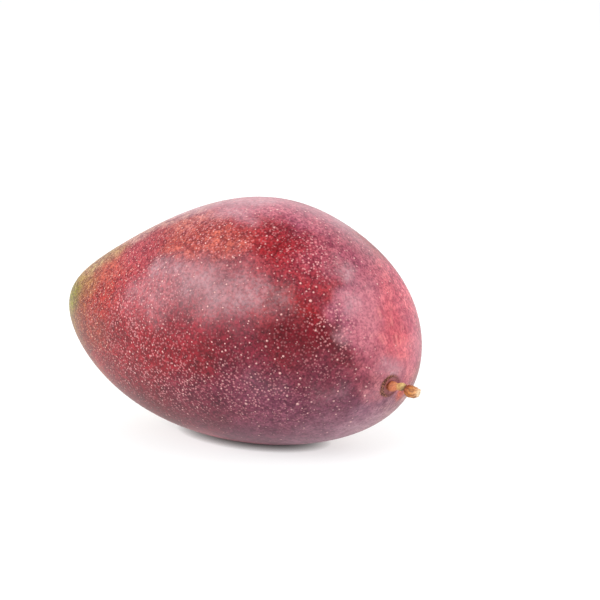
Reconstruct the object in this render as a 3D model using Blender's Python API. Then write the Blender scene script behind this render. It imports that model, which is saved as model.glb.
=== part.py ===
"""A ripe red and purple mango with the stub of its stem, lying on a small flat spot.

The fruit is one grown solid: an egg whose middle line arches and waves, with a few
broad swellings, as grown fruit has. The stub is a second solid, rooted in a shallow
socket in the dimple of the stem end.

Metres, +Z up. The origin is in the flat spot that the fruit rests on. +X points to
the stem end and -X to the apex.
"""
import bmesh
import bpy
import numpy as np
from mathutils import Matrix, Vector

# Size of the fruit
LENGTH = 0.140              # apex to stem end
BREADTH = 0.090             # belly to back
THICKNESS = 0.085           # one cheek to the other

# Form of the fruit, where the place along its length runs from -1, the apex, to 1
FULLER = 0.17               # how much fuller the stem half is
LEANER_ENDS = 0.11          # how much both ends are drawn in
ARCH = 0.0045               # how far the middle line arches towards the back
EASE = 0.0050               # how much less it arches by the ends
WAVE = 0.0080               # how far it waves on top of that, up at the stem end

# How it lies
ROLL = np.radians(22.0)     # turned about its length, back towards -Y
DIP = np.radians(-2.9)      # the stem end dips
MIDDLE = np.array([-0.0051, 0.0003, 0.0394])  # middle of the form, from the origin

# Broad swellings and flats: degrees from the stem end, degrees round the length from
# the back, spread in radians, and height
SWELLINGS = {
    "flat of the upper shoulder": (60, 48, 0.25, -0.0010),
    "flat beside the stem": (15, 115, 0.28, -0.0008),
    "flat above the apex": (126, 14, 0.33, -0.0003),
    "far cheek": (105, 110, 0.35, 0.0007),
    "hollow of the belly by the apex": (140, 175, 0.25, -0.0008),
}

# Stem end: a dimple with a corky scar ring round the stem
STEM_FROM_END = np.radians(18.2)
STEM_ROUND = np.radians(260.0)
DIMPLE_DEPTH = 0.0009
DIMPLE_SPREAD = 0.0050
SCAR_RADIUS = 0.0041
SCAR_WIDTH = 0.0008
SCAR_HEIGHT = 0.0003

# Socket and root
ROOT_RADIUS = 0.0016
ROOT_DEPTH = 0.0032
ROOT_BEVEL = 0.0004
GAP = 0.0003                # clearance of the root in its socket
SOCKET_SIDES = 32
CUTTER_ABOVE_SKIN = 0.004

# Block that cuts the flat spot
REST_CUTTER_WIDTH = 0.080
REST_CUTTER_HEIGHT = 0.020

# Middle line of the stub from the skin: out of the skin, to the side, and up
STUB_LINE = np.array([
    (0.0, 0.0, 0.0),
    (0.8, 0.1, 0.1),
    (1.7, 0.5, 0.5),
    (2.9, 1.2, 0.9),
    (4.5, 1.9, 1.5),
    (5.9, 2.4, 1.4),
    (7.4, 2.7, 1.3),
    (8.9, 3.2, 1.6),
    (10.1, 3.6, 1.9),
]) * 0.001

# Girth of the stub: share of its length, and radius there
STUB_GIRTH = (
    (0.00, 0.00160),
    (0.06, 0.00185),        # collar at the skin
    (0.15, 0.00175),
    (0.28, 0.00130),        # neck
    (0.43, 0.00150),        # joint
    (0.53, 0.00115),        # groove
    (0.64, 0.00200),
    (0.74, 0.00225),        # knob
    (0.88, 0.00210),
    (1.00, 0.00165),        # rim of the broken end
)
BREAK_SLANT = 0.16          # how far the broken end leans out at its top, over its radius
BREAK_DOME = 0.0004

# Fineness of the meshes
FRUIT_RINGS = 54
FRUIT_SIDES = 64
STUB_RINGS = 34
STUB_SIDES = 20

SKIN_COLOUR = (0.30, 0.035, 0.055, 1.0)
STEM_COLOUR = (0.36, 0.17, 0.06, 1.0)


def clear_scene():
    for item in list(bpy.data.objects):
        bpy.data.objects.remove(item, do_unlink=True)


def matte(name, colour, roughness):
    """A Principled material of one colour."""
    material = bpy.data.materials.new(name)
    material.use_nodes = True
    shader = material.node_tree.nodes["Principled BSDF"]
    shader.inputs["Base Color"].default_value = colour
    shader.inputs["Roughness"].default_value = roughness
    shader.inputs["Metallic"].default_value = 0.0
    return material


def unit(vectors):
    return vectors / np.linalg.norm(vectors, axis=-1, keepdims=True)


def turned(from_end, round_length):
    """Unit direction in the fruit's own axes: along, to the side, towards the back."""
    across = np.sin(from_end)
    return np.stack([
        np.cos(from_end),
        across * np.sin(round_length),
        across * np.cos(round_length),
    ], axis=-1)


def laid(own):
    """Turns the fruit's own axes to how it lies: rolled about its length, then dipped."""
    along, side, back = np.moveaxis(own, -1, 0)
    across = side * np.cos(ROLL) - back * np.sin(ROLL)
    up = side * np.sin(ROLL) + back * np.cos(ROLL)
    return np.stack([
        along * np.cos(DIP) - up * np.sin(DIP),
        across,
        along * np.sin(DIP) + up * np.cos(DIP),
    ], axis=-1)


def fullness(along):
    """Girth against a plain ellipsoid's, fuller at the stem end, leaner at both ends."""
    return 1.0 + FULLER * along - LEANER_ENDS * along ** 2


def form(directions):
    """Surface points for unit directions in the fruit's own axes.

    An ellipsoid takes the girth of an egg, its middle line is bent by the arch and
    the wave, and the swellings lift it along its outward direction.
    """
    places = np.linspace(-1.0, 1.0, 801)
    widest = np.max(np.sqrt(1.0 - places ** 2) * fullness(places))
    along, side, back = np.moveaxis(directions, -1, 0)
    girth = fullness(along) / widest
    bend = (ARCH + WAVE * along - EASE * along ** 2) * (1.0 - along ** 2)
    points = laid(np.stack([
        LENGTH / 2 * along,
        THICKNESS / 2 * girth * side,
        BREADTH / 2 * girth * back + bend,
    ], axis=-1))
    outward = laid(unit(directions / np.array([LENGTH, THICKNESS, BREADTH])))
    lift = np.zeros(along.shape)
    for from_end, round_length, spread, height in SWELLINGS.values():
        centre = turned(np.radians(from_end), np.radians(round_length))
        lift += height * np.exp((directions @ centre - 1.0) / spread ** 2)
    return points + lift[..., None] * outward + MIDDLE


def stem_axes():
    """The stem's direction in the fruit's own axes with two square to it."""
    pole = turned(STEM_FROM_END, STEM_ROUND)
    first = unit(np.cross(pole, np.array([0.0, 0.0, 1.0])))
    return pole, first, np.cross(pole, first)


def stem_place():
    """Where the stem meets the undimpled skin, and its out, side and up directions."""
    pole, first, second = stem_axes()
    step = 0.001
    place = form(pole)
    out = unit(np.cross(form(unit(pole + step * first)) - place,
                        form(unit(pole + step * second)) - place))
    side = unit(np.cross(np.array([0.0, 0.0, 1.0]), out))
    return place, out, side, np.cross(out, side)


def dimpled(points):
    """Sinks the skin round the stem and raises the scar ring on it."""
    place, out, _, _ = stem_place()
    away = np.linalg.norm(points - place, axis=-1)
    sunk = DIMPLE_DEPTH * np.exp(-(away / DIMPLE_SPREAD) ** 2)
    raised = SCAR_HEIGHT * np.exp(-((away - SCAR_RADIUS) / SCAR_WIDTH) ** 2)
    return points + (raised - sunk)[..., None] * out


def ring_mesh(name, rings, first_point, last_point):
    """Closed mesh of rings of points, all with the same count, and a point at each end."""
    mesh = bpy.data.meshes.new(name)
    count, sides, _ = rings.shape
    points = np.concatenate([first_point[None], rings.reshape(-1, 3), last_point[None]])
    faces = []
    for ring in range(count - 1):
        for side in range(sides):
            here = 1 + ring * sides + side
            beside = 1 + ring * sides + (side + 1) % sides
            faces.append((here, here + sides, beside + sides, beside))
    for side in range(sides):
        beside = (side + 1) % sides
        end = 1 + (count - 1) * sides
        faces.append((0, 1 + side, 1 + beside))
        faces.append((end + side, len(points) - 1, end + beside))
    mesh.from_pydata(points.tolist(), [], faces)
    tidy = bmesh.new()
    tidy.from_mesh(mesh)
    bmesh.ops.recalc_face_normals(tidy, faces=tidy.faces)
    tidy.to_mesh(mesh)
    tidy.free()
    return mesh


def place_object(name, mesh, material):
    item = bpy.data.objects.new(name, mesh)
    mesh.materials.append(material)
    bpy.context.scene.collection.objects.link(item)
    mesh.shade_smooth()
    mesh.set_sharp_from_angle(angle=np.radians(35.0))
    return item


def make_cutter(name, fill_shape):
    """A hidden wire object, whose mesh fill_shape makes, for a Boolean to cut with."""
    shape = bmesh.new()
    fill_shape(shape)
    mesh = bpy.data.meshes.new(name)
    shape.to_mesh(mesh)
    shape.free()
    item = bpy.data.objects.new(name, mesh)
    item.hide_render = True
    item.display_type = "WIRE"
    bpy.context.scene.collection.objects.link(item)
    return item


def cut(item, cutter):
    boolean = item.modifiers.new(cutter.name, "BOOLEAN")
    boolean.operation = "DIFFERENCE"
    boolean.solver = "EXACT"
    boolean.object = cutter


def socket_cutter():
    """A round pocket for the stem's root, square to the skin."""
    place, out, side, up = stem_place()
    radius = ROOT_RADIUS + GAP
    bottom = -DIMPLE_DEPTH - ROOT_DEPTH - GAP
    item = make_cutter("socket_cutter", lambda shape: bmesh.ops.create_cone(
        shape, cap_ends=True, segments=SOCKET_SIDES,
        radius1=radius, radius2=radius, depth=CUTTER_ABOVE_SKIN - bottom))
    middle = Vector(place + out * (CUTTER_ABOVE_SKIN + bottom) / 2)
    turn = Matrix((side, up, out)).transposed().to_4x4()
    item.matrix_world = Matrix.Translation(middle) @ turn
    return item


def rest_cutter():
    """A block under the fruit, whose top is the flat that it rests on."""
    item = make_cutter("rest_cutter", lambda shape: bmesh.ops.create_cube(shape, size=1.0))
    item.scale = (REST_CUTTER_WIDTH, REST_CUTTER_WIDTH, REST_CUTTER_HEIGHT)
    item.location = (0.0, 0.0, -REST_CUTTER_HEIGHT / 2)
    return item


def make_fruit():
    """Rings round the stem's place, closest together there, cut by its two cutters."""
    share = np.arange(1, FRUIT_RINGS) / FRUIT_RINGS
    tilt = np.pi * (0.2 * share + 0.8 * share ** 1.5)
    turn = np.linspace(0.0, 2 * np.pi, FRUIT_SIDES, endpoint=False)
    pole, first, second = stem_axes()
    sideways = np.cos(turn)[:, None] * first + np.sin(turn)[:, None] * second
    directions = (np.cos(tilt)[:, None, None] * pole
                  + np.sin(tilt)[:, None, None] * sideways[None])
    rings = dimpled(form(directions))
    mesh = ring_mesh("fruit", rings, dimpled(form(pole)), form(-pole))
    fruit = place_object("fruit", mesh, matte("mango_skin", SKIN_COLOUR, 0.42))
    cut(fruit, socket_cutter())
    cut(fruit, rest_cutter())
    return fruit


def smooth_line(points, count):
    """Even samples of a smooth curve through points, with the tangent at each."""
    before = 2 * points[0] - points[1]
    after = 2 * points[-1] - points[-2]
    knots = np.concatenate([before[None], points, after[None]])
    spans = len(points) - 1
    fine = np.linspace(0.0, spans, 40 * spans + 1)
    start = np.minimum(fine.astype(int), spans - 1)
    t = (fine - start)[:, None]
    a, b, c, d = (knots[start + i] for i in range(4))
    curve = 0.5 * (2 * b + (c - a) * t + (2 * a - 5 * b + 4 * c - d) * t ** 2
                   + (3 * b - a - 3 * c + d) * t ** 3)
    length = np.concatenate([[0.0], np.cumsum(np.linalg.norm(np.diff(curve, axis=0), axis=1))])
    even = np.linspace(0.0, length[-1], count)
    line = np.stack([np.interp(even, length, curve[:, i]) for i in range(3)], axis=-1)
    return line, unit(np.gradient(line, axis=0))


def make_stem():
    """Rings of the stub's girth along its line, a straight root and a broken end."""
    place, out, side, up = stem_place()
    base = place - DIMPLE_DEPTH * out
    line, tangent = smooth_line(STUB_LINE, STUB_RINGS)
    local = np.stack([out, side, up])
    line = base + line @ local
    tangent = tangent @ local
    share = np.linspace(0.0, 1.0, STUB_RINGS)
    shares, radii = np.array(STUB_GIRTH).T
    # Each span of the girth is eased at both ends, so the stub has no creases
    span = np.clip(np.searchsorted(shares, share, side="right") - 1, 0, len(shares) - 2)
    part = (share - shares[span]) / (shares[span + 1] - shares[span])
    radius = radii[span] + (radii[span + 1] - radii[span]) * (3 * part ** 2 - 2 * part ** 3)

    turn = np.linspace(0.0, 2 * np.pi, STUB_SIDES, endpoint=False)
    across = unit(np.cross(up, tangent))
    above = np.cross(tangent, across)
    circle = (np.cos(turn)[None, :, None] * across[:, None]
              + np.sin(turn)[None, :, None] * above[:, None])
    stub = line[:, None] + radius[:, None, None] * circle

    root_circle = np.cos(turn)[:, None] * side + np.sin(turn)[:, None] * up
    root = [
        base - ROOT_DEPTH * out + (ROOT_RADIUS - ROOT_BEVEL) * root_circle,
        base - (ROOT_DEPTH - ROOT_BEVEL) * out + ROOT_RADIUS * root_circle,
    ]
    slant = BREAK_SLANT * (1.0 + np.sin(turn))[:, None] * tangent[-1]
    broken = []
    for share_of_rim, rise in ((1.0, 0.0), (0.86, 0.6), (0.5, 0.9)):
        rim = radius[-1] * share_of_rim
        broken.append(line[-1] + rim * (circle[-1] + slant) + BREAK_DOME * rise * tangent[-1])
    rings = np.concatenate([np.stack(root), stub[:-1], np.stack(broken)])
    middle_rise = BREAK_DOME + BREAK_SLANT * radius[-1] / 2
    mesh = ring_mesh("stem", rings, base - ROOT_DEPTH * out, line[-1] + middle_rise * tangent[-1])
    return place_object("stem", mesh, matte("dry_stem", STEM_COLOUR, 0.60))


clear_scene()
make_fruit()
make_stem()
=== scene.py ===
"""Looks of a ripe red and purple mango with the stub of its stem, on a pale floor.

Metres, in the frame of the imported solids: +X to the stem end, +Z up, the origin in the
flat spot that the fruit rests on. The skin and the stub repeat the solids' formulas on
finer grids, with the relief of the dimple, the corky scar and the bark on top. The skin's
colours are blended from named patches, each with a place, a spread and a colour.
"""

import bpy
import numpy as np
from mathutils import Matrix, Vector


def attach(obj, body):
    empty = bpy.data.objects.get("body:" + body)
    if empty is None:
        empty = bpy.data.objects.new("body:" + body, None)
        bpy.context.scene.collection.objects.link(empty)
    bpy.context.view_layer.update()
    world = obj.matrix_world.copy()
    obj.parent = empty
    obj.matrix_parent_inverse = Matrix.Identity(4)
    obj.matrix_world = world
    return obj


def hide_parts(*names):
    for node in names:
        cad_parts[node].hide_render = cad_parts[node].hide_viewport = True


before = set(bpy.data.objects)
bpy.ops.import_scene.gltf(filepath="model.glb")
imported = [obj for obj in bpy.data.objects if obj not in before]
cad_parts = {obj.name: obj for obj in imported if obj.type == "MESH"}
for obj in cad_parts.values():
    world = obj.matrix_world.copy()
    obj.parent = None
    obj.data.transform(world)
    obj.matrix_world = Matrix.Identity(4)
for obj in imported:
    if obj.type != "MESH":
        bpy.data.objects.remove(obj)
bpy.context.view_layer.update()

# Form of the fruit, as in the solids
LENGTH = 0.140              # apex to stem end
BREADTH = 0.090             # belly to back
THICKNESS = 0.085           # one cheek to the other
FULLER = 0.17               # how much fuller the stem half is
LEANER_ENDS = 0.11          # how much both ends are drawn in
ARCH = 0.0045               # how far the middle line arches towards the back
EASE = 0.0050               # how much less it arches by the ends
WAVE = 0.0080               # how far it waves on top of that
ROLL = np.radians(22.0)     # turned about its length
DIP = np.radians(-2.9)      # the stem end dips
MIDDLE = np.array([-0.0051, 0.0003, 0.0394])

# Swellings: degrees from the stem end, degrees round from the back, spread, height
SWELLINGS = {
    "flat of the upper shoulder": (60, 48, 0.25, -0.0010),
    "flat beside the stem": (15, 115, 0.28, -0.0008),
    "flat above the apex": (126, 14, 0.33, -0.0003),
    "far cheek": (105, 110, 0.35, 0.0007),
    "hollow of the belly by the apex": (140, 175, 0.25, -0.0008),
}

# Stem end
STEM_FROM_END = np.radians(18.2)
STEM_ROUND = np.radians(260.0)
DIMPLE_DEPTH = 0.0009
DIMPLE_SPREAD = 0.0050
SCAR_RADIUS = 0.0041
SCAR_WIDTH = 0.0008
SCAR_HEIGHT = 0.0003
SCAR_CRACKS = 0.00012       # depth of the cork's cracks
CORK_WIDTH = 0.0010
CORK_RADIUS = 0.0037        # of the corky crescent on the scar's inner slope
CORK_FROM = np.radians(172.0)    # its middle, round the stem from the side towards the top
CORK_REACH = 1.0
CORK_WANDER = 0.0004        # how far it strays to either side
STAIN_AND_SHADE_RADIUS = 0.0032       # of the brown stain, partly painted shade, inside the crescent

# Stub of the stem, as in the solids: out of the skin, to the side, and up
STUB_LINE = np.array([
    (0.0, 0.0, 0.0),
    (0.8, 0.1, 0.1),
    (1.7, 0.5, 0.5),
    (2.9, 1.2, 0.9),
    (4.5, 1.9, 1.5),
    (5.9, 2.4, 1.4),
    (7.4, 2.7, 1.3),
    (8.9, 3.2, 1.6),
    (10.1, 3.6, 1.9),
]) * 0.001
STUB_GIRTH = (
    (0.00, 0.00160),
    (0.06, 0.00185),        # collar at the skin
    (0.15, 0.00175),
    (0.28, 0.00130),        # neck
    (0.43, 0.00150),        # joint
    (0.53, 0.00115),        # groove
    (0.64, 0.00200),
    (0.74, 0.00225),        # knob
    (0.88, 0.00210),
    (1.00, 0.00165),        # rim of the broken end
)
ROOT_RADIUS = 0.0016
ROOT_DEPTH = 0.0032
ROOT_BEVEL = 0.0004
BREAK_SLANT = 0.16
BREAK_DOME = 0.0004
BREAK_SHARES = np.linspace(1.0, 0.08, 24)    # of the rim's radius, for its rings
BARK_FURROWS = 9            # furrows round the stub
BARK_DEPTH = 0.00010

# Fineness of the meshes, and the step for the skin's slopes on the unit sphere
SKIN_RINGS = 250
SKIN_SIDES = 384
STUB_RINGS = 150
STUB_SIDES = 96
NUDGE = 0.001

# Pores of the skin
PORES = 13100
PORE_SIDES = 6
PORE_RADIUS = 0.00040       # of a middling pore, away from the apex
PORE_RISE = 0.00004
PORE_ROOT = 0.00002
PORE_UNEVEN = 0.34          # how far a pore strays, over the distance to the next
PORE_CROWD = 2.4            # how many more there are at the apex
PORE_CROWD_SPREAD = 0.62
PORE_FROM_STEM = 0.0075
PORE_FROM_FLOOR = 0.0006

# Patterns of the skin and the stem, in features to the metre
BLOTCHES = 75.0
DUST_CLOUDS = 130.0
SPECK_FIELDS = 150.0
STREAK_BREAKS = 260.0
MOTTLE = 420.0
DUST = 900.0
PITS = 900.0
SPECKS = 950.0
GRAIN = 1250.0
BARK_GRAIN = 1800.0
CORK_GRAIN = 1900.0

# Fineness of the streaks round the stem and away from it, and depths of the relief
STREAKS_ROUND = 22.0
STREAKS_ALONG = 6.0
PIT_DEPTH = 0.00006
BARK_GRAIN_DEPTH = 0.00012

# Camera
CAMERA_TARGET = Vector((0.01364, 0.01139, 0.04939))
CAMERA_DISTANCE = 0.80
CAMERA_AZIMUTH = np.radians(27.28)
CAMERA_ELEVATION = np.radians(14.0)
CAMERA_LENS = 133.7

# Light
WORLD_STRENGTH = 0.42
OVERHEAD_STRENGTH = 1.65     # of a very wide, soft sun straight above
OVERHEAD_ANGLE = np.radians(120.0)
SOFTBOX_DISTANCE = 0.90
SOFTBOX_TARGET = Vector((0.0, 0.0, 0.045))
FLOOR_WIDTH = 12.0
FLOOR_GREY = (0.40, 0.41, 0.41, 1.0)
FLOOR_GLOW = 0.60           # keeps the floor white up to the narrow gap under the fruit
FLOOR_GAP = 0.003           # height of that gap

# Soft boxes: name, direction from the fruit, width, height and power in watts
SOFTBOXES = (
    ("key_softbox", (-0.52, -0.75, 0.43), 0.90, 0.45, 9.0),
    ("right_softbox", (0.90, 0.05, 0.42), 0.65, 0.60, 4.0),
    ("back_softbox", (-0.15, 0.90, 0.42), 1.10, 0.50, 2.5),
)


def linear(red, green, blue):
    """Linear colour from one given as 0 to 255 on screen, by the power 2.2."""
    return tuple((np.array([red, green, blue]) / 255.0) ** 2.2)


# Colours of the fruit
GREEN = linear(112, 124, 20)
OLIVE = linear(150, 122, 74)
STRAW = linear(176, 142, 126)
BROWN = linear(124, 76, 54)
STAINED_ORANGE = linear(186, 94, 72)
ORANGE = linear(162, 80, 66)
BRICK = linear(142, 48, 42)
RED = linear(140, 36, 42)
DEEP_RED = linear(128, 18, 26)
SPECKLED = linear(150, 70, 82)
CHERRY = linear(140, 50, 58)
FADED_CHERRY = linear(158, 70, 76)
# A lighter cherry, in one place partly painted highlight where the flank's highlight runs on
# towards the stem
LIGHTER_CHERRY = linear(144, 55, 60)
PEACH = linear(176, 112, 98)
SAND = linear(154, 126, 88)
RUSSET = linear(120, 46, 32)
BRONZE = linear(140, 84, 60)
FADED_GREEN = linear(130, 126, 56)
WARM_OLIVE = linear(142, 106, 62)
PALE_STRAW = linear(166, 150, 104)
DEEP_WINE = linear(104, 20, 34)
WARM_ROSE = linear(176, 110, 114)
BLOOD = linear(126, 26, 36)
CRIMSON = linear(120, 30, 42)
MAROON = linear(98, 14, 28)
WINE = linear(108, 28, 44)
PLUM = linear(106, 42, 56)
SOFT_PLUM = linear(120, 52, 66)
DUSKY_RED = linear(126, 60, 66)
MAUVE = linear(114, 60, 78)
GREY_ROSE = linear(146, 102, 118)
DUSKY_ROSE = linear(156, 82, 94)
ROSE = linear(172, 100, 112)
CORAL = linear(200, 90, 96)
ROSY_CORAL = linear(190, 98, 106)
BRIGHT_CORAL = linear(220, 122, 130)
PALE_CORAL = linear(204, 122, 130)
# Pale bloom, also used as painted highlight, painted reflection and painted rim sheen
BLOOM_AND_SHEEN = linear(192, 160, 166)
PALE_PORE = linear(244, 184, 178)
WARM_PORE = linear(236, 176, 140)
PALE_SPECK = linear(218, 146, 148)
PALE_STREAK = linear(238, 148, 140)
DARK_CORK = linear(66, 34, 28)
PALE_CORK = linear(154, 98, 80)
# Brown round the stem's foot: a stain, partly painted shade in the dimple
SOCKET_BROWN_AND_SHADE = linear(132, 74, 56)

# Shades: what the colour under them is multiplied by
BLOTCH_SHADE = (0.62, 0.36, 0.55)
MOTTLE_SHADE = (0.78, 0.52, 0.70)
MOTTLE_LIGHT = (1.42, 1.44, 1.38)
GRAIN_SHADE = (0.44, 0.30, 0.40)
STREAK_SHADE = (0.80, 0.50, 0.52)
PORE_SHADE = (0.72, 0.56, 0.66)
BARK_SHADE = (0.50, 0.40, 0.38)
FURROW_SHADE = (0.42, 0.30, 0.24)

# Patches of colour: degrees from the stem end, degrees round from the back, spread in
# radians, weight and colour
PATCHES = {
    "green tip": (158, 306, 0.14, 1.3, GREEN),
    "olive above the tip": (151, 340, 0.10, 1.2, OLIVE),
    "olive beside the tip": (141, 328, 0.07, 1.5, WARM_OLIVE),
    "straw back by the tip": (143, 354, 0.08, 2.4, PALE_STRAW),
    "sandy back": (130, 349, 0.06, 2.0, SAND),
    "russet below the tip": (131, 290, 0.09, 2.0, RUSSET),
    "straw back": (125, 9, 0.09, 1.7, STRAW),
    "straw back further on": (109, 15, 0.10, 1.8, STRAW),
    "brown belly side of the tip": (147, 282, 0.10, 1.0, BROWN),
    "brick beside the tip": (128, 310, 0.14, 1.0, BRICK),
    "orange beside the tip": (130, 334, 0.11, 1.2, ORANGE),
    "cherry back by the apex": (115, 344, 0.10, 1.0, FADED_CHERRY),
    "orange of the back": (98, 346, 0.11, 1.1, ORANGE),
    "peach back": (95, 354, 0.08, 1.6, PEACH),
    "orange back further on": (86, 345, 0.10, 1.0, ORANGE),
    "upper flank": (90, 322, 0.16, 0.9, DUSKY_RED),
    "flank by the apex": (108, 318, 0.14, 0.7, CHERRY),
    "lower flank by the apex": (116, 290, 0.15, 1.0, BLOOD),
    "lower flank": (100, 288, 0.14, 1.0, BLOOD),
    "crimson lower flank": (85, 288, 0.11, 1.0, BLOOD),
    "crimson flank": (84, 302, 0.11, 0.8, CRIMSON),
    "red of the back": (73, 351, 0.09, 1.4, RED),
    "red back by the shoulder": (64, 347, 0.06, 3.2, DEEP_RED),
    "dusky ridge": (88, 3, 0.12, 0.9, DUSKY_ROSE),
    "rose ridge": (70, 16, 0.14, 0.6, ROSE),
    "speckled shoulder": (54, 351, 0.10, 1.8, SPECKLED),
    "dusky upper shoulder": (48, 8, 0.10, 0.9, DUSKY_ROSE),
    "red beyond the haze": (60, 342, 0.05, 1.2, RED),
    "rose by the blot": (43, 6, 0.06, 1.6, ROSE),
    "red blot": (52, 337, 0.045, 1.7, RED),
    "wine beside the blot": (54, 330, 0.04, 0.7, WINE),
    "deep red beside the haze": (56, 320, 0.055, 2.6, DEEP_RED),
    # Partly the skin's cherry, partly painted highlight carrying the flank's highlight on towards
    # the stem
    "cherry and painted highlight at the end of the highlight": (62, 328, 0.075, 1.8, LIGHTER_CHERRY),
    "maroon flank": (53, 302, 0.10, 2.6, MAROON),
    "cherry above the maroon": (60, 309, 0.05, 1.3, LIGHTER_CHERRY),
    "maroon stem side": (42, 301, 0.055, 1.8, MAROON),
    "maroon streak by the stem side": (34, 294, 0.035, 1.6, MAROON),
    "maroon up from the belly": (47, 308, 0.07, 1.3, MAROON),
    "soft plum by the belly": (45, 284, 0.11, 1.5, SOFT_PLUM),
    "wine flank": (70, 295, 0.11, 1.0, WINE),
    "plum flank": (70, 281, 0.11, 0.9, PLUM),
    "mauve belly": (64, 267, 0.13, 1.1, MAUVE),
    "mauve under the middle": (60, 248, 0.16, 1.0, MAUVE),
    "plum belly": (84, 264, 0.16, 1.0, PLUM),
    "wine belly by the apex": (109, 256, 0.14, 1.7, DEEP_WINE),
    "blood red belly by the apex": (124, 266, 0.12, 1.2, BLOOD),
    "grey-rose belly": (44, 226, 0.16, 1.0, GREY_ROSE),
    "mauve below the stem": (42, 266, 0.10, 1.0, MAUVE),
    "plum beside the stem": (32, 276, 0.05, 1.2, SOFT_PLUM),
    "warm rose beside the stem": (25, 266, 0.05, 1.4, WARM_ROSE),
    "dusky beside the stem": (28, 296, 0.07, 0.9, DUSKY_ROSE),
    "orange under the stem": (16, 234, 0.032, 1.4, STAINED_ORANGE),
    "rosy shoulder": (32, 332, 0.12, 1.0, ROSE),
    "coral shoulder": (19, 343, 0.085, 1.9, CORAL),
    "coral upper shoulder": (31, 22, 0.08, 1.2, ROSY_CORAL),
    "coral far shoulder": (32, 42, 0.09, 1.5, BRIGHT_CORAL),
    "pale coral stem end": (12, 25, 0.14, 1.0, PALE_CORAL),
    "pale above the stem": (17, 286, 0.06, 1.2, ROSE),
    "far side of the tip": (150, 100, 0.30, 1.0, OLIVE),
    "green beyond the tip": (160, 60, 0.20, 0.7, FADED_GREEN),
    "bronze under the tip": (138, 238, 0.14, 1.0, BRONZE),
    "far cheek by the apex": (118, 95, 0.30, 1.0, ORANGE),
    "far cheek": (80, 85, 0.34, 1.1, CHERRY),
    "far shoulder": (45, 100, 0.30, 1.0, BRICK),
    "far side below the stem": (45, 165, 0.26, 0.9, STRAW),
    "underside": (88, 165, 0.34, 1.0, DUSKY_ROSE),
    "underside by the apex": (125, 170, 0.28, 0.9, OLIVE),
}

# Bloom, the pale waxy dust, in places also painted highlight, painted reflection and painted rim
# sheen: place, spread and how much of it
BLOOM_AND_SHEEN_PATCHES = {
    # Painted highlight, partly real bloom: laid where the key soft box's broad highlight falls on
    # the flank
    "bloom and painted highlight of the flank": (84, 321, 0.15, 0.22),
    "bloom and painted highlight towards the apex": (100, 325, 0.10, 0.28),
    "bloom and painted highlight further towards the apex": (107, 313, 0.10, 0.15),
    "bloom and painted highlight towards the stem": (66, 319, 0.10, 0.30),
    "bloom and painted highlight low on the flank": (74, 307, 0.09, 0.13),
    "bloom and painted highlight low towards the apex": (100, 304, 0.08, 0.15),
    # Painted rim sheen, partly real bloom: pale along the top rim and the upper shoulder, where
    # grazing light off the bright surround pales the edge
    "bloom and painted rim sheen of the back": (85, 1, 0.09, 0.28),
    "bloom and painted rim sheen of the ridge": (89, 20, 0.15, 0.60),
    "bloom and painted rim sheen of the straw back": (107, 16, 0.10, 0.70),
    "bloom and painted rim sheen of the upper shoulder": (59, 33, 0.14, 0.56),
    # Painted reflection, partly real bloom: a pale band where the right soft box is reflected down
    # the shoulder
    "bloom and painted reflection down the shoulder": (44, 353, 0.07, 0.36),
    "bloom and painted reflection by the stem side": (40, 332, 0.06, 0.24),
    "bloom and painted reflection streak by the stem side": (38, 311, 0.045, 0.20),
    "haze of the stem end": (10, 50, 0.12, 0.12),
    "haze above the stem": (18, 288, 0.06, 0.36),
    "haze beside the stem": (25, 262, 0.05, 0.14),
    # Painted rim sheen, partly real bloom: pale along the lower edge, where the bright floor is
    # reflected at a grazing angle
    "bloom and painted rim sheen of the lower belly": (42, 224, 0.18, 0.35),
    "haze below the stem side": (43, 271, 0.07, 0.14),
    "haze of the belly": (63, 276, 0.07, 0.06),
    # Painted rim sheen, partly real bloom: pale along the far shoulder's edge
    "bloom and painted rim sheen of the far shoulder": (56, 58, 0.15, 0.34),
}

# Where fine pale specks are thick between the pores: place, spread and how thick
SPECKLE_PATCHES = {
    "flank by the apex": (112, 305, 0.28, 0.60),
    "back": (90, 348, 0.20, 0.60),
    "red back": (68, 346, 0.10, 0.25),
    "speckled shoulder": (54, 351, 0.12, 1.00),
    "stem side of the flank": (43, 316, 0.125, 0.95),
    "maroon by the belly": (43, 301, 0.12, 0.80),
    "belly": (64, 270, 0.20, 0.60),
    "lower flank": (96, 268, 0.22, 0.70),
    "far side": (90, 110, 0.80, 0.55),
}

# Where the pores are fewer: place, spread and the share of them that is missing
BARE_PATCHES = {
    "rosy shoulder": (26, 340, 0.22, 0.92),
    "stem end": (10, 300, 0.22, 0.95),
    "below the stem": (34, 240, 0.22, 0.60),
    "belly": (70, 235, 0.28, 0.55),
    "lower belly": (100, 245, 0.25, 0.45),
    "ridge": (80, 25, 0.25, 0.45),
    "maroon flank": (50, 302, 0.14, 0.60),
    "middle of the flank": (72, 292, 0.18, 0.15),
    "bright flank": (84, 320, 0.14, 0.50),
}

# Where pale streaks run out from the stem: place, spread and how strong
STREAK_PATCHES = {
    "rosy shoulder": (20, 340, 0.13, 0.45),
}

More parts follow.
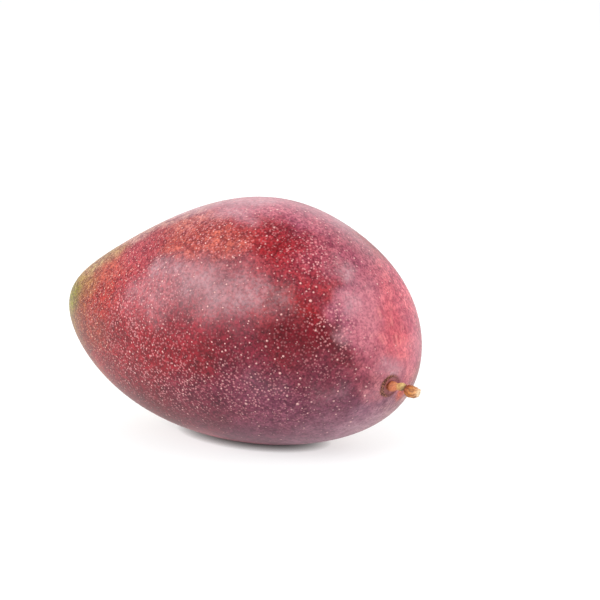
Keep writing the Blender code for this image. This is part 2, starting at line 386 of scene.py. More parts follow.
# Colours of the stem, some of them painted light and painted shade: share of its length, degrees
# round from its side towards its top, spread along, spread round in radians, weight and colour
STEM_PATCHES = {
    "orange base": (0.12, 200, 0.14, 3.0, 1.0, linear(196, 108, 70)),
    # Painted shade at the foot of the base, where it meets the skin
    "painted shade at the foot of the base": (0.03, 200, 0.05, 1.4, 1.4, linear(140, 70, 42)),
    # Painted light on the top of the base
    "painted light on the top of the base": (0.20, 100, 0.08, 0.8, 0.8, linear(206, 138, 98)),
    "straw top of the neck": (0.36, 95, 0.07, 1.0, 1.6, linear(214, 176, 108)),
    # Painted shade under the neck, below the joint's ridge
    "painted shade under the neck": (0.38, 260, 0.07, 1.0, 1.2, linear(150, 86, 54)),
    "straw joint": (0.46, 110, 0.05, 1.0, 1.6, linear(222, 190, 122)),
    # Painted shade under the joint
    "painted shade under the joint": (0.48, 235, 0.06, 1.0, 1.8, linear(92, 54, 34)),
    "dark groove": (0.55, 150, 0.030, 3.0, 1.3, linear(98, 56, 34)),
    "red-brown top of the knob": (0.66, 115, 0.08, 0.9, 1.8, linear(142, 54, 34)),
    "amber body of the knob": (0.76, 215, 0.12, 1.3, 1.5, linear(202, 126, 48)),
    # Painted shade under the knob
    "painted shade under the knob": (0.68, 262, 0.10, 0.7, 1.8, linear(104, 56, 24)),
    "far side of the knob": (0.75, 30, 0.14, 1.4, 1.0, linear(150, 94, 54)),
    "pale rim": (0.94, 170, 0.07, 2.0, 1.4, linear(214, 152, 100)),
    # Painted shade under the rim of the broken end
    "painted shade under the rim": (0.95, 268, 0.06, 0.8, 1.4, linear(132, 84, 44)),
    "cream broken end": (1.06, 180, 0.05, 6.0, 2.6, linear(226, 196, 156)),
}


def unit(vectors):
    """The same directions with a length of one."""
    return vectors / np.linalg.norm(vectors, axis=-1, keepdims=True)


def turned(from_end, round_length):
    """Unit direction in the fruit's own axes: along, to the side, towards the back."""
    across = np.sin(from_end)
    return np.stack([
        np.cos(from_end),
        across * np.sin(round_length),
        across * np.cos(round_length),
    ], axis=-1)


def laid(own):
    """Turns the fruit's own axes to how it lies: rolled about its length, then dipped."""
    along, side, back = np.moveaxis(own, -1, 0)
    across = side * np.cos(ROLL) - back * np.sin(ROLL)
    up = side * np.sin(ROLL) + back * np.cos(ROLL)
    return np.stack([
        along * np.cos(DIP) - up * np.sin(DIP),
        across,
        along * np.sin(DIP) + up * np.cos(DIP),
    ], axis=-1)


def nearness(directions, from_end, round_length, spread):
    """A soft round patch on the unit sphere: e to the power of (cosine - 1) / spread^2."""
    centre = turned(np.radians(from_end), np.radians(round_length))
    return np.exp((directions @ centre - 1.0) / spread ** 2)


def fullness(along):
    """Girth against a plain ellipsoid's, fuller at the stem end, leaner at both ends."""
    return 1.0 + FULLER * along - LEANER_ENDS * along ** 2


def form(directions):
    """Skin points for unit directions in the fruit's own axes.

    An ellipsoid takes the girth of an egg, its middle line is bent by the arch and
    the wave, and the swellings lift it along its outward direction.
    """
    places = np.linspace(-1.0, 1.0, 801)
    widest = np.max(np.sqrt(1.0 - places ** 2) * fullness(places))
    along, side, back = np.moveaxis(directions, -1, 0)
    girth = fullness(along) / widest
    bend = (ARCH + WAVE * along - EASE * along ** 2) * (1.0 - along ** 2)
    points = laid(np.stack([
        LENGTH / 2 * along,
        THICKNESS / 2 * girth * side,
        BREADTH / 2 * girth * back + bend,
    ], axis=-1))
    outward = laid(unit(directions / np.array([LENGTH, THICKNESS, BREADTH])))
    lift = np.zeros(along.shape)
    for from_end, round_length, spread, height in SWELLINGS.values():
        lift += height * nearness(directions, from_end, round_length, spread)
    return points + lift[..., None] * outward + MIDDLE


def stem_axes():
    """The stem's direction in the fruit's own axes with two square to it."""
    pole = turned(STEM_FROM_END, STEM_ROUND)
    first = unit(np.cross(pole, np.array([0.0, 0.0, 1.0])))
    return pole, first, np.cross(pole, first)


def stem_place():
    """Where the stem meets the undimpled skin, and its out, side and up directions."""
    pole, first, second = stem_axes()
    place = form(pole)
    out = unit(np.cross(form(unit(pole + NUDGE * first)) - place,
                        form(unit(pole + NUDGE * second)) - place))
    side = unit(np.cross(np.array([0.0, 0.0, 1.0]), out))
    return place, out, side, np.cross(out, side)


def ripples(points, seed, wavelength, waves=24):
    """Smooth unevenness from -1 to 1: the mean of sines along seeded random directions."""
    chance = np.random.default_rng(seed)
    ways = unit(chance.normal(size=(waves, 3)))
    ways *= 2 * np.pi / (wavelength * chance.uniform(0.7, 1.6, (waves, 1)))
    starts = chance.uniform(0.0, 2 * np.pi, waves)
    return np.tanh(np.sin(points @ ways.T + starts).sum(axis=-1) / np.sqrt(waves / 2)) * 0.8


def round_the_stem(points):
    """Distance of each point from the stem's place, and its turn round the stem."""
    place, _, side, up = stem_place()
    turn = np.arctan2((points - place) @ up, (points - place) @ side)
    return np.linalg.norm(points - place, axis=-1), turn


def towards_cork(turn):
    """A bell round the stem: 1 in the middle of the corky crescent, least opposite."""
    return np.exp((np.cos(turn - CORK_FROM) - 1.0) / CORK_REACH ** 2)


def crescent(points):
    """How strongly each point is on the corky crescent: a bell across the ring's radius
    times a bell round the stem, over a faint whole ring."""
    away, turn = round_the_stem(points)
    wander = away + CORK_WANDER * ripples(points, 5, 0.006)
    ring = np.exp(-((wander - CORK_RADIUS) / CORK_WIDTH) ** 2)
    return ring * (0.18 + 0.82 * towards_cork(turn))


def socket_stain_and_shade(points):
    """How brown the skin is between the crescent and the stem, mostly to one side: a brown stain,
    partly painted shade in the dimple by the stem's foot.
    """
    away, turn = round_the_stem(points)
    return (0.30 + 0.70 * towards_cork(turn)) * np.exp(-(away / STAIN_AND_SHADE_RADIUS) ** 6)


def dimpled(points):
    """Sinks the skin round the stem, raises the scar ring on it and cracks its cork."""
    place, out, _, _ = stem_place()
    away = np.linalg.norm(points - place, axis=-1)
    sunk = DIMPLE_DEPTH * np.exp(-(away / DIMPLE_SPREAD) ** 2)
    raised = SCAR_HEIGHT * np.exp(-((away - SCAR_RADIUS) / SCAR_WIDTH) ** 2)
    cracks = SCAR_CRACKS * crescent(points) * ripples(points, 7, 0.0012)
    return points + (raised - sunk + np.minimum(cracks, 0.0))[..., None] * out


def blended(directions, patches):
    """Colour at each direction: the mean of the patches' colours, weighted by nearness."""
    total = np.zeros(directions.shape[:-1])
    colour = np.zeros(directions.shape)
    for from_end, round_length, spread, weight, tint in patches.values():
        share = weight * nearness(directions, from_end, round_length, spread) + 1e-9
        total += share
        colour += share[..., None] * np.array(tint)
    return colour / total[..., None]


def covered(directions, patches):
    """Cover from 0 to 1, where each patch hides a share of what the others left bare."""
    bare = np.ones(directions.shape[:-1])
    for from_end, round_length, spread, amount in patches.values():
        bare *= 1.0 - amount * nearness(directions, from_end, round_length, spread)
    return 1.0 - bare


def fray(directions, points):
    """Directions shifted a little by ripples, so that the patches have ragged edges."""
    shift = np.stack([ripples(points, seed, 0.018) for seed in (21, 22, 23)], axis=-1)
    shift += 0.6 * np.stack([ripples(points, seed, 0.007) for seed in (24, 25, 26)], axis=-1)
    return unit(directions + 0.05 * shift)


def grid_faces(count, sides):
    """Faces of rings of points and the places of their corners on the map for baking.

    Point 0 is the first end, the rings follow, and the last point is the other end. The
    map runs round each ring from left to right and from the first ring to the last.
    """
    ring, side = np.meshgrid(np.arange(count - 1), np.arange(sides), indexing="ij")
    here = 1 + ring * sides + side
    beside = 1 + ring * sides + (side + 1) % sides
    quads = np.stack([here, here + sides, beside + sides, beside], axis=-1)
    quad_map = np.stack([
        np.stack([side, side, side + 1, side + 1], axis=-1) / sides,
        (np.stack([ring, ring + 1, ring + 1, ring], axis=-1) + 1) / (count + 1),
    ], axis=-1)

    around = np.arange(sides)
    onward = (around + 1) % sides
    end = 0 * around
    last_ring = 1 + (count - 1) * sides
    start_caps = np.stack([end, 1 + around, 1 + onward], axis=-1)
    end_caps = np.stack([last_ring + around, end + 1 + count * sides, last_ring + onward], axis=-1)
    cap_u = np.stack([around + 0.5, around, around + 1], axis=-1) / sides
    cap_v = np.stack([end, end + 1, end + 1], axis=-1) / (count + 1)
    swapped = [1, 0, 2]
    triangles = np.concatenate([start_caps, end_caps])
    triangle_map = np.stack([
        np.concatenate([cap_u, cap_u[:, swapped]]),
        np.concatenate([cap_v, 1.0 - cap_v[:, swapped]]),
    ], axis=-1)
    return quads.reshape(-1, 4), quad_map.reshape(-1, 4, 2), triangles, triangle_map


def grid_mesh(name, rings, first_point, last_point):
    """Closed mesh of rings of points, with a point at each end and a map for baking.

    The faces are turned round if they point inwards, which shows in the sign of the sum
    over the quads of one diagonal times the cross product of a corner and the other.
    """
    count, sides, _ = rings.shape
    points = np.concatenate([first_point[None], rings.reshape(-1, 3), last_point[None]])
    quads, quad_map, triangles, triangle_map = grid_faces(count, sides)
    corners = points[quads]
    volume = np.einsum("ij,ij->", corners[:, 0] - corners[:, 2],
                       np.cross(corners[:, 1] - points.mean(axis=0), corners[:, 3] - corners[:, 1]))
    if volume < 0:
        quads = quads[:, ::-1]
        quad_map = quad_map[:, ::-1]
        triangles = triangles[:, ::-1]
        triangle_map = triangle_map[:, ::-1]
    mesh = bpy.data.meshes.new(name)
    mesh.from_pydata(points.tolist(), [], quads.tolist() + triangles.tolist())
    places = np.concatenate([quad_map.reshape(-1, 2), triangle_map.reshape(-1, 2)])
    layer = mesh.uv_layers.new(name="OFBake")
    layer.data.foreach_set("uv", (places * 0.98 + 0.01).ravel())
    mesh.shade_smooth()
    return mesh


def give_colour(mesh, name, colours):
    """Stores a colour for each point of the mesh."""
    layer = mesh.attributes.new(name, "FLOAT_COLOR", "POINT")
    opaque = np.concatenate([colours, np.ones((len(colours), 1))], axis=-1)
    layer.data.foreach_set("color", opaque.astype(np.float32).ravel())


def give_share(mesh, name, shares):
    """Stores a number for each point of the mesh."""
    layer = mesh.attributes.new(name, "FLOAT", "POINT")
    layer.data.foreach_set("value", shares.astype(np.float32).ravel())


def give_place(mesh, name, places):
    """Stores a place, on which a pattern can be laid, for each point of the mesh."""
    layer = mesh.attributes.new(name, "FLOAT_VECTOR", "POINT")
    layer.data.foreach_set("vector", places.astype(np.float32).ravel())


def add_piece(name, mesh, material):
    """Puts a finished mesh into the scene as a piece of the fruit's one body."""
    piece = bpy.data.objects.new(name, mesh)
    mesh.materials.append(material)
    bpy.context.scene.collection.objects.link(piece)
    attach(piece, "root")
    return piece


def new_material(name, roughness):
    """A material with its node tree and its Principled shader."""
    material = bpy.data.materials.new(name)
    material.use_nodes = True
    shader = material.node_tree.nodes["Principled BSDF"]
    shader.inputs["Roughness"].default_value = roughness
    shader.inputs["Metallic"].default_value = 0.0
    return material, material.node_tree, shader


def attribute(tree, name, output="Color"):
    """A value that the mesh stores at its points."""
    node = tree.nodes.new("ShaderNodeAttribute")
    node.attribute_name = name
    return node.outputs[output]


def object_place(tree):
    """The place on the piece, in its own metres."""
    return tree.nodes.new("ShaderNodeTexCoord").outputs["Object"]


def noise(tree, place, scale, detail=2.0):
    """Noise from 0 to 1 with so many features to the metre."""
    node = tree.nodes.new("ShaderNodeTexNoise")
    node.inputs["Scale"].default_value = scale
    node.inputs["Detail"].default_value = detail
    tree.links.new(place, node.inputs["Vector"])
    return node.outputs["Fac"]


def ramped(tree, value, low, high, to_low, to_high):
    """Maps low..high of a value to to_low..to_high and holds it there beyond."""
    node = tree.nodes.new("ShaderNodeMapRange")
    node.clamp = True
    for socket, number in (("From Min", low), ("From Max", high),
                           ("To Min", to_low), ("To Max", to_high)):
        node.inputs[socket].default_value = number
    tree.links.new(value, node.inputs["Value"])
    return node.outputs["Result"]


def fill_socket(tree, socket, value):
    """Links an output to a socket, or sets a plain number or colour on it."""
    if isinstance(value, bpy.types.NodeSocket):
        tree.links.new(value, socket)
    elif isinstance(value, tuple):
        socket.default_value = (*value, 1.0)
    else:
        socket.default_value = value


def mixed(tree, factor, first, second, blend="MIX"):
    """Two colours mixed by a factor, each an output of a node or a plain colour."""
    node = tree.nodes.new("ShaderNodeMix")
    node.data_type = "RGBA"
    node.blend_type = blend
    fill_socket(tree, node.inputs[0], factor)
    fill_socket(tree, node.inputs[6], first)
    fill_socket(tree, node.inputs[7], second)
    return node.outputs[2]


def shaded(tree, colour, shade):
    """A colour multiplied by a shade."""
    return mixed(tree, 1.0, colour, shade, "MULTIPLY")


def maths(tree, operation, first, second):
    """One step of arithmetic on two numbers, each an output of a node or a plain one."""
    node = tree.nodes.new("ShaderNodeMath")
    node.operation = operation
    fill_socket(tree, node.inputs[0], first)
    fill_socket(tree, node.inputs[1], second)
    return node.outputs[0]


def bumped(tree, shader, height, depth):
    """Gives the shader a fine relief, so deep in metres, from a height of 0 to 1."""
    node = tree.nodes.new("ShaderNodeBump")
    node.inputs["Strength"].default_value = 1.0
    node.inputs["Distance"].default_value = depth
    tree.links.new(height, node.inputs["Height"])
    tree.links.new(node.outputs["Normal"], shader.inputs["Normal"])


def specks(tree, place, scale, small, large):
    """Round specks, so many to the metre: 1 within a small share of a cell, 0 beyond a
    larger one."""
    node = tree.nodes.new("ShaderNodeTexVoronoi")
    node.inputs["Scale"].default_value = scale
    tree.links.new(place, node.inputs["Vector"])
    return ramped(tree, node.outputs["Distance"], small, large, 1.0, 0.0)


def mottled_colour(tree, place, ground):
    """The ground with dark blotches, then a light and dark mottle, dark grain and pale
    specks, all of them weaker where the pores are few."""
    blotches = noise(tree, place, BLOTCHES, 3.0)
    colour = mixed(tree, ramped(tree, blotches, 0.42, 0.66, 0.0, 0.75), ground,
                   shaded(tree, ground, BLOTCH_SHADE))
    mottle = noise(tree, place, MOTTLE, 3.0)
    mottled = mixed(tree, ramped(tree, mottle, 0.36, 0.64, 0.0, 1.0),
                    shaded(tree, colour, MOTTLE_SHADE), shaded(tree, colour, MOTTLE_LIGHT))
    grain = noise(tree, place, GRAIN)
    mottled = mixed(tree, ramped(tree, grain, 0.38, 0.56, 0.90, 0.0), mottled,
                    shaded(tree, mottled, GRAIN_SHADE))
    patchy = ramped(tree, noise(tree, place, SPECK_FIELDS), 0.40, 0.60, 0.35, 1.00)
    thick = maths(tree, "MULTIPLY", patchy, attribute(tree, "speckle", "Fac"))
    speckled = maths(tree, "MULTIPLY", specks(tree, place, SPECKS, 0.22, 0.42), thick)
    mottled = mixed(tree, speckled, mottled, PALE_SPECK)
    restless = ramped(tree, attribute(tree, "bare", "Fac"), 0.0, 1.0, 1.0, 0.55)
    return mixed(tree, restless, colour, mottled)


def streaked_colour(tree, place, colour):
    """Pale broken streaks that run out from the stem, with a redder ground between."""
    streaks = noise(tree, attribute(tree, "streak_place", "Vector"), 1.0, 3.0)
    streaked = attribute(tree, "streaked", "Fac")
    broken = ramped(tree, noise(tree, place, STREAK_BREAKS), 0.42, 0.58, 0.0, 1.0)
    share = maths(tree, "MULTIPLY", ramped(tree, streaks, 0.46, 0.62, 0.0, 1.0), streaked)
    colour = mixed(tree, maths(tree, "MULTIPLY", share, broken), colour, PALE_STREAK)
    between = maths(tree, "MULTIPLY", ramped(tree, streaks, 0.36, 0.48, 0.9, 0.0), streaked)
    return mixed(tree, between, colour, shaded(tree, colour, STREAK_SHADE))


def bloom_and_sheen_share(tree, place):
    """How thick the bloom and its painted sheen are: its patches times clouds and a fine grain of
    dust.
    """
    clouds = ramped(tree, noise(tree, place, DUST_CLOUDS, 4.0), 0.30, 0.70, 0.55, 1.30)
    dust = ramped(tree, noise(tree, place, DUST), 0.38, 0.60, 0.70, 1.35)
    return maths(tree, "MULTIPLY", maths(tree, "MULTIPLY", clouds, dust),
                 attribute(tree, "bloom_and_sheen", "Fac"))


def corky_colour(tree, place, colour, cork):
    """A brown stain round the stem, partly painted shade in the dimple, and the crescent's cork,
    mixed by its grain.
    """
    # Brown stain round the stem's foot, partly painted shade in the dimple
    stain_and_shade = maths(tree, "MULTIPLY", attribute(tree, "stain_and_shade", "Fac"), 0.75)
    colour = mixed(tree, stain_and_shade, colour, SOCKET_BROWN_AND_SHADE)
    grain = noise(tree, place, CORK_GRAIN, 3.0)
    cork_colour = mixed(tree, ramped(tree, grain, 0.46, 0.60, 0.0, 1.0), DARK_CORK, PALE_CORK)
    return mixed(tree, ramped(tree, cork, 0.14, 0.55, 0.0, 1.0), colour, cork_colour)


def skin_material():
    """Waxy skin: mottled patches of colour, streaks and cork by the stem, and bloom that in places
    is painted highlight, painted reflection and painted rim sheen.

    The bloom share, painted sheen included, and the cork dull it too: the roughness is 0.38 and a
    quarter of each of them.
    """
    material, tree, shader = new_material("mango_skin", 0.42)
    place = object_place(tree)
    bloom_and_sheen = bloom_and_sheen_share(tree, place)
    cork = attribute(tree, "cork", "Fac")
    colour = mottled_colour(tree, place, attribute(tree, "ground"))
    colour = streaked_colour(tree, place, colour)
    # Pale bloom over the colour, in places painted highlight, painted reflection and painted rim
    # sheen
    colour = mixed(tree, bloom_and_sheen, colour, BLOOM_AND_SHEEN)
    colour = corky_colour(tree, place, colour, cork)
    tree.links.new(colour, shader.inputs["Base Color"])

    dull = maths(tree, "ADD", maths(tree, "MULTIPLY", bloom_and_sheen, 0.25), 0.38)
    dull = maths(tree, "ADD", dull, maths(tree, "MULTIPLY", cork, 0.25))
    tree.links.new(dull, shader.inputs["Roughness"])
    shader.inputs["Specular IOR Level"].default_value = 0.25
    bumped(tree, shader, noise(tree, place, PITS, 4.0), PIT_DEPTH)
    return material


def give_skin_looks(mesh, directions, points):
    """Stores the skin's colours and how far each look is spread over it."""
    frayed = fray(directions, points)
    give_colour(mesh, "ground", blended(frayed, PATCHES))
    # Bloom, in places painted highlight, painted reflection and painted rim sheen
    give_share(mesh, "bloom_and_sheen", covered(frayed, BLOOM_AND_SHEEN_PATCHES))
    give_share(mesh, "bare", covered(directions, BARE_PATCHES))
    give_share(mesh, "cork", crescent(points))
    # Brown stain round the stem's foot, partly painted shade in the dimple
    give_share(mesh, "stain_and_shade", socket_stain_and_shade(points))
    give_share(mesh, "speckle", covered(frayed, SPECKLE_PATCHES))
    give_share(mesh, "streaked", covered(directions, STREAK_PATCHES))


def make_skin():
    """Rings of directions round the stem's place, closest together there, sent to the
    fruit's form, dimpled, and pressed flat where it rests.

    The streaks' pattern is laid on a cylinder round the stem, which makes them long.
    """
    share = np.arange(1, SKIN_RINGS) / SKIN_RINGS
    tilt = np.pi * (0.2 * share + 0.8 * share ** 1.5)
    turn = np.linspace(0.0, 2 * np.pi, SKIN_SIDES, endpoint=False)
    pole, first, second = stem_axes()
    sideways = np.cos(turn)[:, None] * first + np.sin(turn)[:, None] * second
    directions = (np.cos(tilt)[:, None, None] * pole
                  + np.sin(tilt)[:, None, None] * sideways[None])
    plain = form(directions)
    rings = dimpled(plain)
    rings[..., 2] = np.maximum(rings[..., 2], 0.0)
    mesh = grid_mesh("fruit_skin", rings, dimpled(form(pole)), form(-pole))

    every = np.concatenate([pole[None], directions.reshape(-1, 3), -pole[None]])
    points = np.concatenate([form(pole)[None], plain.reshape(-1, 3), form(-pole)[None]])
    tilts = np.concatenate([[0.0], np.repeat(tilt, SKIN_SIDES), [np.pi]])
    turns = np.concatenate([[0.0], np.tile(turn, len(tilt)), [0.0]])
    give_skin_looks(mesh, every, points)
    give_place(mesh, "streak_place", np.stack([
        STREAKS_ROUND * np.cos(turns),
        STREAKS_ROUND * np.sin(turns),
        STREAKS_ALONG * tilts,
    ], axis=-1))
    skin = add_piece("fruit_skin", mesh, skin_material())
    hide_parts("fruit")


def pore_directions():
    """Even but untidy places for the pores, from the apex to the stem end.

    A golden spiral: each pore is turned on by the golden angle, and the share of pores
    passed on the way to the apex sets the place along the length, so that they stand
    closest by the apex. Each then strays by a seeded share of the gap between them.
    """
    chance = np.random.default_rng(11)
    places = np.linspace(-1.0, 1.0, 2001)
    crowd = 1.0 + PORE_CROWD * np.exp(-((places + 1.0) / PORE_CROWD_SPREAD) ** 2)
    closeness = crowd * (0.9 - 0.25 * places)
    passed = np.cumsum(closeness)
    passed = (passed - passed[0]) / (passed[-1] - passed[0])
    along = np.interp((np.arange(PORES) + 0.5) / PORES, passed, places)
    around = np.arange(PORES) * np.pi * (3.0 - np.sqrt(5.0))
    gap = np.sqrt(4 * np.pi / PORES / np.interp(along, places, closeness))
    directions = turned(np.arccos(along), around)
    return unit(directions + (PORE_UNEVEN * gap)[:, None] * chance.normal(size=(PORES, 3)))


def pore_places(chance):
    """Directions and points of the pores that are there: none in the dimple or on the
    flat spot, and fewer in the bare patches."""
    directions = pore_directions()
    kept = chance.random(PORES) > covered(directions, BARE_PATCHES)
    points = dimpled(form(directions))
    kept &= round_the_stem(points)[0] > PORE_FROM_STEM
    kept &= points[:, 2] > PORE_FROM_FLOOR
    return directions[kept], points[kept]


def skin_frames(directions):
    """The outward direction of the skin and two along it, from small steps on its form."""
    first = unit(np.cross(directions, np.array([0.31, 0.22, 0.93])))
    second = np.cross(directions, first)
    along = unit(form(unit(directions + NUDGE * first)) - form(directions))
    beside = form(unit(directions + NUDGE * second)) - form(directions)
    out = unit(np.cross(along, beside))
    return out, along, np.cross(out, along)


def pore_faces(count):
    """Faces of so many cones: the slopes from each tip to its rim, then the bases."""
    side = np.arange(PORE_SIDES)
    slopes = np.stack([0 * side, 1 + side, 1 + (side + 1) % PORE_SIDES], axis=-1)
    start = (np.arange(count) * (1 + PORE_SIDES))[:, None, None]
    bases = (1 + side[::-1])[None] + start
    return (slopes + start).reshape(-1, 3).tolist() + bases.reshape(-1, PORE_SIDES).tolist()


def give_pore_map(mesh, count, circle):
    """A map for baking with a square for each pore, its tip in the square's middle."""
    wide = int(np.ceil(np.sqrt(count)))
    cell = np.stack([np.arange(count) % wide, np.arange(count) // wide], axis=-1)
    spots = np.concatenate([np.zeros((1, 2)), 0.35 * circle])
    places = (cell[:, None] + 0.5 + spots[None]) / wide
    corners = np.zeros(len(mesh.loops), dtype=np.int32)
    mesh.loops.foreach_get("vertex_index", corners)
    layer = mesh.uv_layers.new(name="OFBake")
    layer.data.foreach_set("uv", places.reshape(-1, 2)[corners].ravel())


def pore_colours(directions, paleness):
    """Colours of each pore: the skin's own under its bloom and painted sheen, paled at the tip and
    shaded at the rim. What pales it is warmer by the apex."""
    frayed = fray(directions, form(directions))
    # The pores take the bloom too, with its painted highlight, reflection and rim sheen
    haze_and_sheen = 0.7 * covered(frayed, BLOOM_AND_SHEEN_PATCHES)[:, None]
    ground = blended(frayed, PATCHES) * (1.0 - haze_and_sheen) + haze_and_sheen * np.array(BLOOM_AND_SHEEN)
    by_apex = np.clip((-0.35 - directions[:, 0]) / 0.40, 0.0, 1.0)[:, None]
    pale = by_apex * np.array(WARM_PORE) + (1.0 - by_apex) * np.array(PALE_PORE)
    tips = ground * (1.0 - paleness) + paleness * pale
    rims = ground * np.array(PORE_SHADE)
    return np.concatenate([tips[:, None], np.repeat(rims[:, None], PORE_SIDES, axis=1)], axis=1)


def pore_material():
    """Pale dots, each of its own colour, a little glossier than the skin."""
    material, tree, shader = new_material("pale_pores", 0.40)
    tree.links.new(attribute(tree, "dot"), shader.inputs["Base Color"])
    return material


def make_pores():
    """Small flat cones through the skin: a tip just above it and a rim just below.

    Each rim is a regular polygon in the two directions along the skin. A pore's strength
    is a random number to the power 1.9: it widens the rim and pales the tip. The rim is
    also narrower by the apex, and a further random factor about 1 varies it.
    """
    chance = np.random.default_rng(12)
    directions, points = pore_places(chance)
    count = len(points)
    from_apex = np.clip((directions[:, 0] + 1.0) / 0.9, 0.0, 1.0)
    strength = chance.random(count) ** 1.9
    radius = PORE_RADIUS * (0.62 + 0.38 * from_apex) * (0.83 + 0.55 * strength)
    radius *= chance.lognormal(-0.02, 0.20, count)

    out, along, across = skin_frames(directions)
    turn = np.linspace(0.0, 2 * np.pi, PORE_SIDES, endpoint=False)
    circle = np.stack([np.cos(turn), np.sin(turn)], axis=-1)
    reach = circle[None, :, :1] * along[:, None] + circle[None, :, 1:] * across[:, None]
    rims = points[:, None] + radius[:, None, None] * reach - PORE_ROOT * out[:, None]
    tips = points[:, None] + PORE_RISE * out[:, None]
    corners = np.concatenate([tips, rims], axis=1)

    mesh = bpy.data.meshes.new("skin_pores")
    mesh.from_pydata(corners.reshape(-1, 3).tolist(), [], pore_faces(count))
    give_pore_map(mesh, count, circle)
    paleness = (0.24 - 0.05 * from_apex + 0.76 * strength)[:, None]
    give_colour(mesh, "dot", pore_colours(directions, paleness).reshape(-1, 3))
    mesh.shade_smooth()
    add_piece("skin_pores", mesh, pore_material())


def smooth_line(points, count):
    """Even samples of a smooth curve through points, with the tangent at each.

    Between two points it is the cubic whose slope at each point is half the way from
    the point before to the point after. It is sampled finely, then evenly by length.
    """
    before = 2 * points[0] - points[1]
    after = 2 * points[-1] - points[-2]
    knots = np.concatenate([before[None], points, after[None]])
    spans = len(points) - 1
    fine = np.linspace(0.0, spans, 40 * spans + 1)
    start = np.minimum(fine.astype(int), spans - 1)
    t = (fine - start)[:, None]
    a, b, c, d = (knots[start + i] for i in range(4))
    curve = 0.5 * (2 * b + (c - a) * t + (2 * a - 5 * b + 4 * c - d) * t ** 2
                   + (3 * b - a - 3 * c + d) * t ** 3)
    length = np.concatenate([[0.0], np.cumsum(np.linalg.norm(np.diff(curve, axis=0), axis=1))])
    even = np.linspace(0.0, length[-1], count)
    line = np.stack([np.interp(even, length, curve[:, i]) for i in range(3)], axis=-1)
    return line, unit(np.gradient(line, axis=0))


def stem_material():
    """Dry stem: colours from base to broken end, with painted light on top and painted shade
    underneath, fine grain and dark cracks.
    """
    material, tree, shader = new_material("dry_stem", 0.55)
    grain = noise(tree, object_place(tree), BARK_GRAIN, 3.0)
    colour = attribute(tree, "bark_and_shade")
    colour = mixed(tree, ramped(tree, grain, 0.38, 0.56, 0.65, 0.0), colour,
                   shaded(tree, colour, BARK_SHADE))
    colour = mixed(tree, attribute(tree, "furrow", "Fac"), colour,
                   shaded(tree, colour, FURROW_SHADE))
    tree.links.new(colour, shader.inputs["Base Color"])
    bumped(tree, shader, grain, BARK_GRAIN_DEPTH)
    return material


def stem_colour(share, turn):
    """Colour over the stub, with painted light on top and painted shade underneath: patches
    weighted by a bell along it and a bell round it.
    """
    total = np.zeros(share.shape)
    colour = np.zeros((*share.shape, 3))
    for along, degrees, spread, spread_round, weight, tint in STEM_PATCHES.values():
        apart = np.cos(turn - np.radians(degrees)) - 1.0
        near = weight * np.exp(-((share - along) / spread) ** 2 + apart / spread_round ** 2) + 1e-9
        total += near
        colour += near[..., None] * np.array(tint)
    return colour / total[..., None]


def stub_radii(share):
    """Radius at each share of the stub's length. Between two given girths it eases from
    one to the other by 3 p^2 - 2 p^3 for the part p of the way."""
    shares, radii = np.array(STUB_GIRTH).T
    span = np.clip(np.searchsorted(shares, share, side="right") - 1, 0, len(shares) - 2)
    part = (share - shares[span]) / (shares[span + 1] - shares[span])
    return radii[span] + (radii[span + 1] - radii[span]) * (3 * part ** 2 - 2 * part ** 3)


def bark_wear(smooth, share, turn):
    """Where the furrows are, and how far the stub is worn below its plain girth.

    Furrows: the sixth power of a cosine of the turn, which twists slowly along the stub
    and wavers. Finer ripples wear it too, and all of it less at the foot.
    """
    twist = turn[None] + 1.2 * share[:, None] + 0.35 * ripples(smooth, 31, 0.003)
    furrows = np.abs(np.cos(BARK_FURROWS / 2 * twist)) ** 6
    depth = BARK_DEPTH * np.clip(share * 3.0, 0.25, 1.0)[:, None]
    return furrows, depth * furrows + 0.6 * depth * (1.0 + ripples(smooth, 32, 0.0011))


def root_rings(base, out, circle):
    """The straight root: a bevelled ring at its foot and a full one above."""
    return np.stack([
        base - ROOT_DEPTH * out + (ROOT_RADIUS - ROOT_BEVEL) * circle,
        base - (ROOT_DEPTH - ROOT_BEVEL) * out + ROOT_RADIUS * circle,
    ])


def broken_rings(end, tangent, rim, turn):
    """Rings of the slanted broken end, from its rim inwards, for shares s of the rim.

    It is a low dome, 0.9 (1 - s^3), with faint rings of wood, 0.1 cos(22 s) (1 - s).
    """
    slant = BREAK_SLANT * (1.0 + np.sin(turn))[:, None] * tangent
    reach = np.linalg.norm(rim, axis=-1, keepdims=True)
    share = BREAK_SHARES[:, None, None]
    rise = 0.9 * (1.0 - share ** 3) + 0.10 * np.cos(share * 22.0) * (1.0 - share)
    return end + share * (rim + reach * slant) + BREAK_DOME * rise * tangent


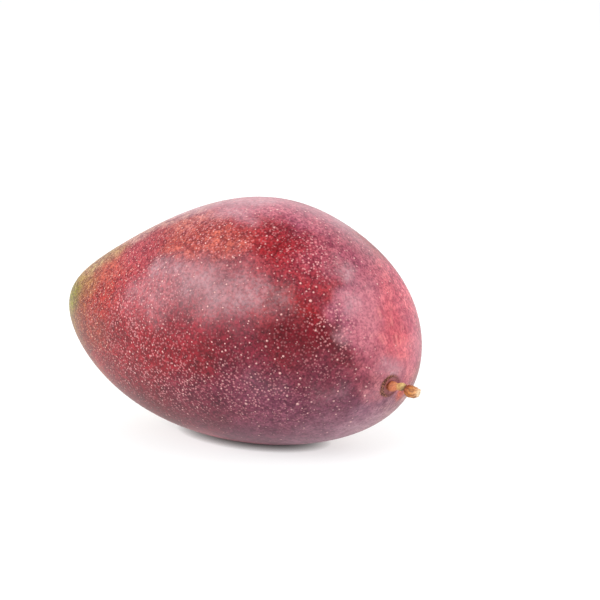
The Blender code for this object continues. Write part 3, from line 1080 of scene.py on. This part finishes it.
def make_stem():
    """The stub: rings of its girth along its line, worn by the bark, between a straight
    root and a broken end. Nothing rises above the plain girth."""
    place, out, side, up = stem_place()
    base = place - DIMPLE_DEPTH * out
    line, tangent = smooth_line(STUB_LINE, STUB_RINGS)
    local = np.stack([out, side, up])
    line = base + line @ local
    tangent = tangent @ local
    share = np.linspace(0.0, 1.0, STUB_RINGS)
    radius = stub_radii(share)

    turn = np.linspace(0.0, 2 * np.pi, STUB_SIDES, endpoint=False)
    across = unit(np.cross(up, tangent))
    above = np.cross(tangent, across)
    circle = (np.cos(turn)[None, :, None] * across[:, None]
              + np.sin(turn)[None, :, None] * above[:, None])
    furrows, worn = bark_wear(line[:, None] + radius[:, None, None] * circle, share, turn)
    rim = (radius[:, None] - worn)[..., None] * circle
    root = root_rings(base, out, np.cos(turn)[:, None] * side + np.sin(turn)[:, None] * up)
    broken = broken_rings(line[-1], tangent[-1], rim[-1], turn)
    rings = np.concatenate([root, (line[:, None] + rim)[:-1], broken])
    mesh = grid_mesh("stem_stub", rings, base - ROOT_DEPTH * out, broken[-1].mean(axis=0))

    ring_share = np.concatenate([[-0.05, -0.02], share[:-1], 1.0 + 0.12 * (1.0 - BREAK_SHARES)])
    every_share = np.concatenate([[-0.05], np.repeat(ring_share, STUB_SIDES), [1.12]])
    every_turn = np.concatenate([[0.0], np.tile(turn, len(rings)), [0.0]])
    # Stem colours, painted light on the top of the base and painted shade under the neck, joint,
    # knob and rim included
    give_colour(mesh, "bark_and_shade", stem_colour(every_share, every_turn))
    on_knob = np.clip((share - 0.5) / 0.15, 0.0, 1.0)[:, None]
    furrow = np.zeros((len(rings), STUB_SIDES))
    furrow[2:1 + STUB_RINGS] = (0.85 * on_knob * furrows)[:-1]
    give_share(mesh, "furrow", np.concatenate([[0.0], furrow.ravel(), [0.0]]))
    stub = add_piece("stem_stub", mesh, stem_material())
    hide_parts("stem")


def make_floor():
    """A wide pale floor under the fruit, with a glow that fades in the gap beneath it."""
    mesh = bpy.data.meshes.new("floor")
    half = FLOOR_WIDTH / 2
    corners = [(-half, -half, 0.0), (half, -half, 0.0), (half, half, 0.0), (-half, half, 0.0)]
    mesh.from_pydata(corners, [], [(0, 1, 2, 3)])
    material, tree, shader = new_material("white_floor", 0.85)
    shader.inputs["Base Color"].default_value = FLOOR_GREY
    open_above = tree.nodes.new("ShaderNodeAmbientOcclusion")
    open_above.samples = 8
    open_above.inputs["Distance"].default_value = FLOOR_GAP
    glow = maths(tree, "MULTIPLY", open_above.outputs["AO"], FLOOR_GLOW)
    tree.links.new(glow, shader.inputs["Emission Strength"])
    shader.inputs["Emission Color"].default_value = (1.0, 1.0, 1.0, 1.0)
    shader.inputs["Specular IOR Level"].default_value = 0.2
    mesh.materials.append(material)
    floor = bpy.data.objects.new("floor", mesh)
    bpy.context.scene.collection.objects.link(floor)


def make_light():
    """A white surround, a wide soft light from above that throws no reflections, and three
    large soft boxes, at the front left, at the right and behind."""
    world = bpy.data.worlds.new("white_surround")
    world.use_nodes = True
    background = world.node_tree.nodes["Background"]
    background.inputs["Color"].default_value = (1.0, 1.0, 1.0, 1.0)
    background.inputs["Strength"].default_value = WORLD_STRENGTH
    bpy.context.scene.world = world
    sun = bpy.data.lights.new("overhead", "SUN")
    sun.energy = OVERHEAD_STRENGTH
    sun.angle = OVERHEAD_ANGLE
    overhead = bpy.data.objects.new("overhead", sun)
    overhead.visible_glossy = False
    bpy.context.scene.collection.objects.link(overhead)
    for name, way, width, height, power in SOFTBOXES:
        lamp = bpy.data.lights.new(name, "AREA")
        lamp.shape = "RECTANGLE"
        lamp.size = width
        lamp.size_y = height
        lamp.energy = power
        light = bpy.data.objects.new(name, lamp)
        away = Vector(way).normalized()
        light.location = SOFTBOX_TARGET + away * SOFTBOX_DISTANCE
        light.rotation_euler = away.to_track_quat("Z", "Y").to_euler()
        bpy.context.scene.collection.objects.link(light)


def make_camera():
    """A long lens at the height of the view that the outline was worked out from."""
    data = bpy.data.cameras.new("camera")
    data.sensor_width = 36.0
    data.lens = CAMERA_LENS
    data.clip_start = 0.01
    data.clip_end = 50.0
    camera = bpy.data.objects.new("camera", data)
    away = Vector((
        np.sin(CAMERA_AZIMUTH) * np.cos(CAMERA_ELEVATION),
        -np.cos(CAMERA_AZIMUTH) * np.cos(CAMERA_ELEVATION),
        np.sin(CAMERA_ELEVATION),
    ))
    camera.location = CAMERA_TARGET + away * CAMERA_DISTANCE
    camera.rotation_euler = away.to_track_quat("Z", "Y").to_euler()
    bpy.context.scene.collection.objects.link(camera)
    bpy.context.scene.camera = camera


make_camera()
make_light()
make_floor()
make_skin()
make_pores()
make_stem()
bpy.context.scene.view_settings.view_transform = "Standard"
